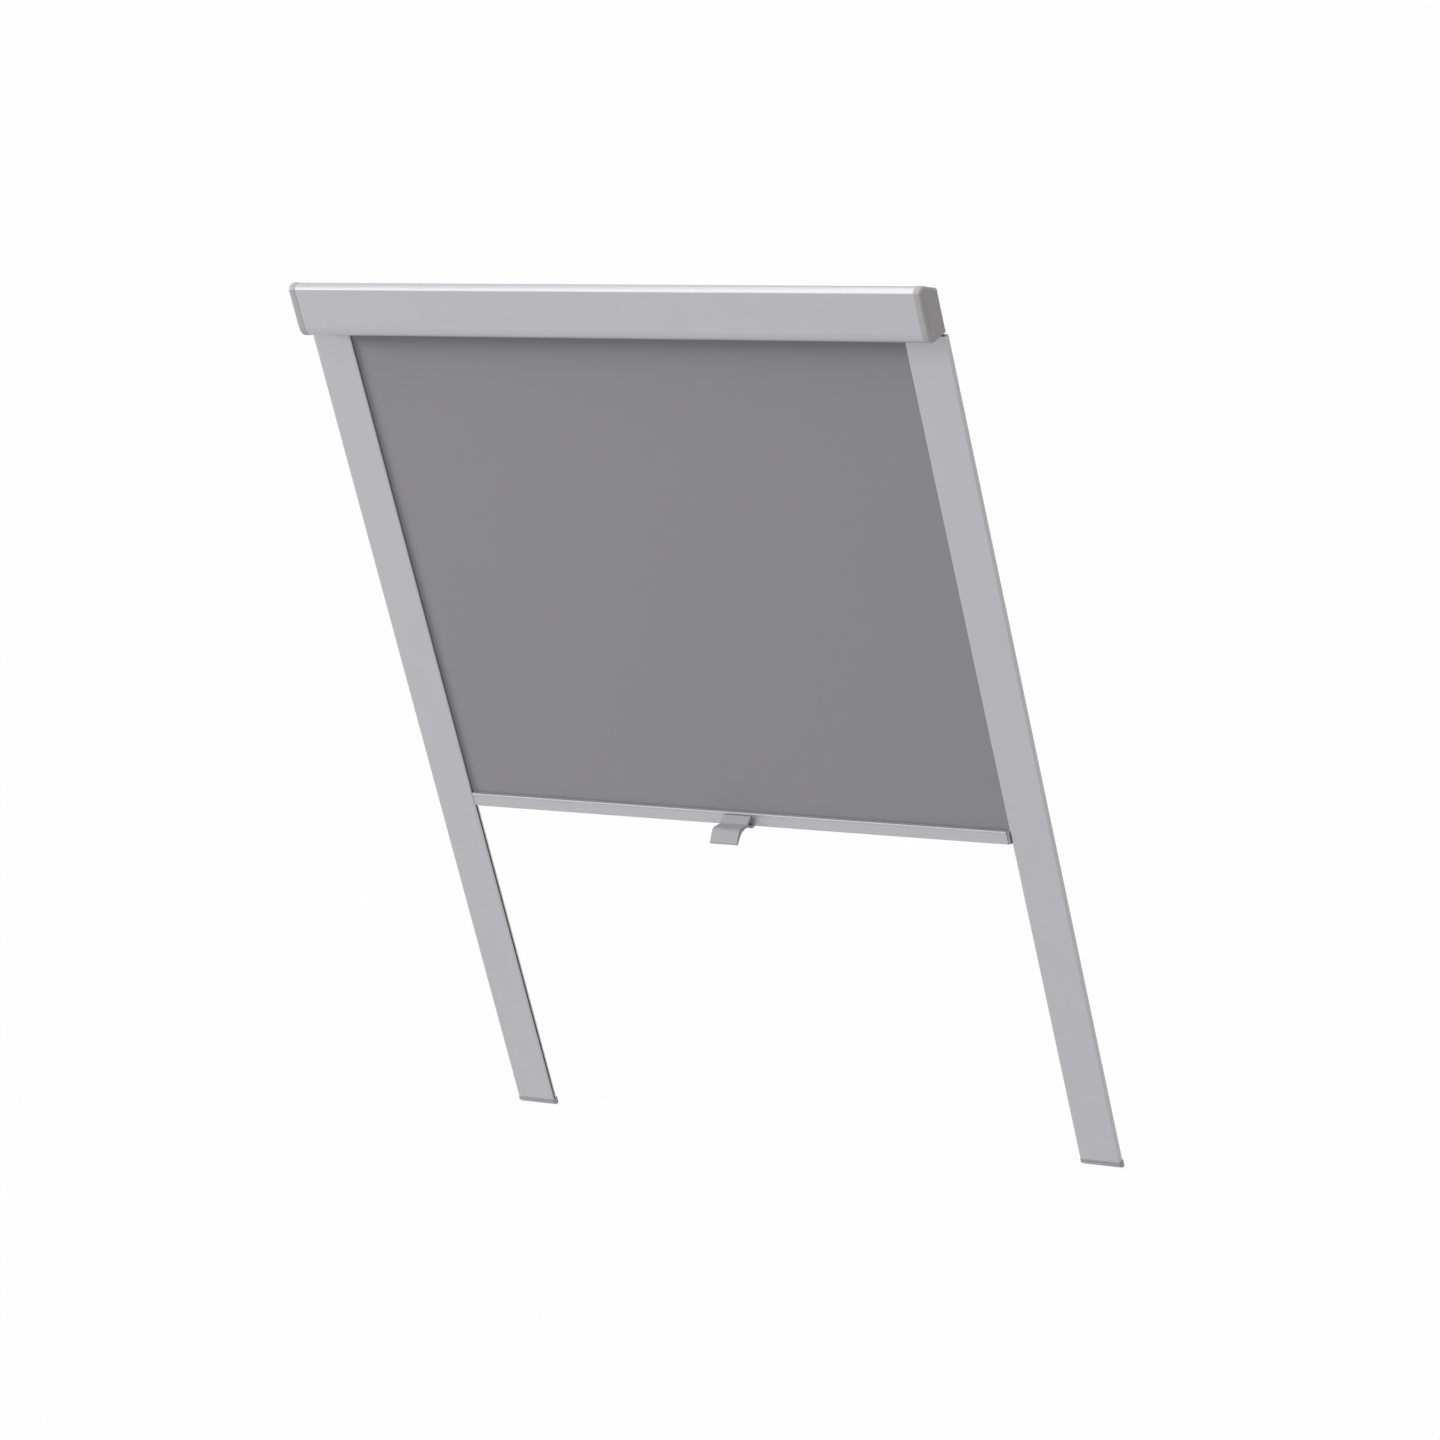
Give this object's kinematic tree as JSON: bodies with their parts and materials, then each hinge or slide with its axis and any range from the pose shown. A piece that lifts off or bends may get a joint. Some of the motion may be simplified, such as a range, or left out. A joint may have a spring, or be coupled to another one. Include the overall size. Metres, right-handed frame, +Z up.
{
  "type": "skylight window blind",
  "caption": "Roof-window roller blind: grey blackout cloth winds into a slim aluminium headbox and runs in side guide rails, drawn by a bottom bar with a pull handle.",
  "frame": {"origin": "on the plane of the blind's back, at mid width, level with the roller's axis", "axes": "+X to the right as seen from the room, +Y towards the window, +Z up along the guide rails"},
  "size_m": [0.6126, 0.0372, 0.8145],
  "materials": {
    "anodised_aluminium": "satin anodised",
    "cap_plastic": "moulded, lightly textured, warm grey",
    "handle_plastic": "moulded, satin, light grey",
    "inner_plastic": "moulded, dark grey",
    "steel": "zinc plated",
    "blackout_cloth": "fine plain weave with a blackout coating",
    "felt": "pressed felt",
    "foam_tape": "thin closed-cell foam tape"
  },
  "bodies": {
    "housing": {"headbox_shell": "anodised_aluminium", "end_cap_left": "cap_plastic", "end_cap_right": "cap_plastic", "mounting_plate_left": "steel", "mounting_plate_right": "steel", "guide_rail_left": "anodised_aluminium", "guide_rail_right": "anodised_aluminium", "rail_tape_left": "foam_tape", "rail_tape_right": "foam_tape", "rail_cap_left": "cap_plastic", "rail_cap_right": "cap_plastic", "rail_joiner_left": "cap_plastic", "rail_joiner_right": "cap_plastic", "idler_pin": "steel", "spring_arbor": "steel"},
    "roller": {"roller_tube": "anodised_aluminium", "cloth_roll": "blackout_cloth", "idler_plug": "inner_plastic", "bearing_plug": "inner_plastic", "spring_anchor": "inner_plastic", "torsion_spring": "steel"},
    "bar": {"cloth_sheet": "blackout_cloth", "hem_spline": "inner_plastic", "bottom_bar": "anodised_aluminium", "bar_end_left": "handle_plastic", "bar_end_right": "handle_plastic", "brake_pad_left": "felt", "brake_pad_right": "felt", "leaf_spring_left": "steel", "leaf_spring_right": "steel", "pull_handle": "handle_plastic"}
  },
  "joints": [
    {"name": "bar_slide", "type": "slide", "parent": "housing", "child": "bar", "axis": [0, 0, 1], "range_m": [-0.297, 0.4425], "deforming": ["cloth_sheet"]},
    {"name": "roller_turn", "type": "hinge", "parent": "housing", "child": "roller", "pos_m": [0, -0.01236, 0], "axis": [1, 0, 0], "range_deg": [-1950, 2900]}
  ],
  "couplings": [
    {"joint": "roller_turn", "follows": "bar_slide", "rad_per_m": 114.15}
  ]
}
